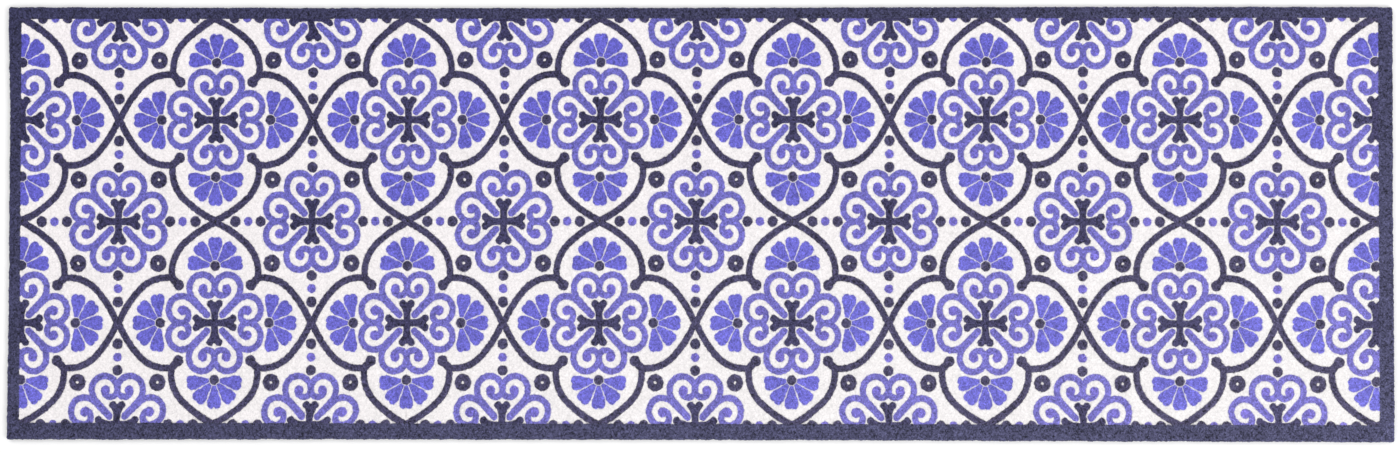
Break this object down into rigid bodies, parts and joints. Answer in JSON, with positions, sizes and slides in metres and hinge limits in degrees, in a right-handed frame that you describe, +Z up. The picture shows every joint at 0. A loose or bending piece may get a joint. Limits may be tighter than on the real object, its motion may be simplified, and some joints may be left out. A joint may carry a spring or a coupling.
{
  "type": "runner rug",
  "caption": "Long flat printed cut-pile runner rug with a tile-pattern field, a plain dark border and a rubber backing.",
  "frame": {"origin": "centre of the rug's underside, on the floor", "axes": "+X along the rug's length, +Y across its width, +Z up out of the pile"},
  "size_m": [1.6, 0.5, 0.0068],
  "materials": {
    "rubber": "matt vulcanised sheet with a fine fabric emboss",
    "carrier": "bonded nonwoven, matt",
    "field_pile": "dense cut pile, printed in off-white, violet-blue and dark plum",
    "border_pile": "dense cut pile, printed dark navy-plum"
  },
  "bodies": {
    "root": {"rubber_backing": "rubber", "tufting_carrier": "carrier", "pile_field": "field_pile", "pile_border": "border_pile"}
  },
  "joints": []
}
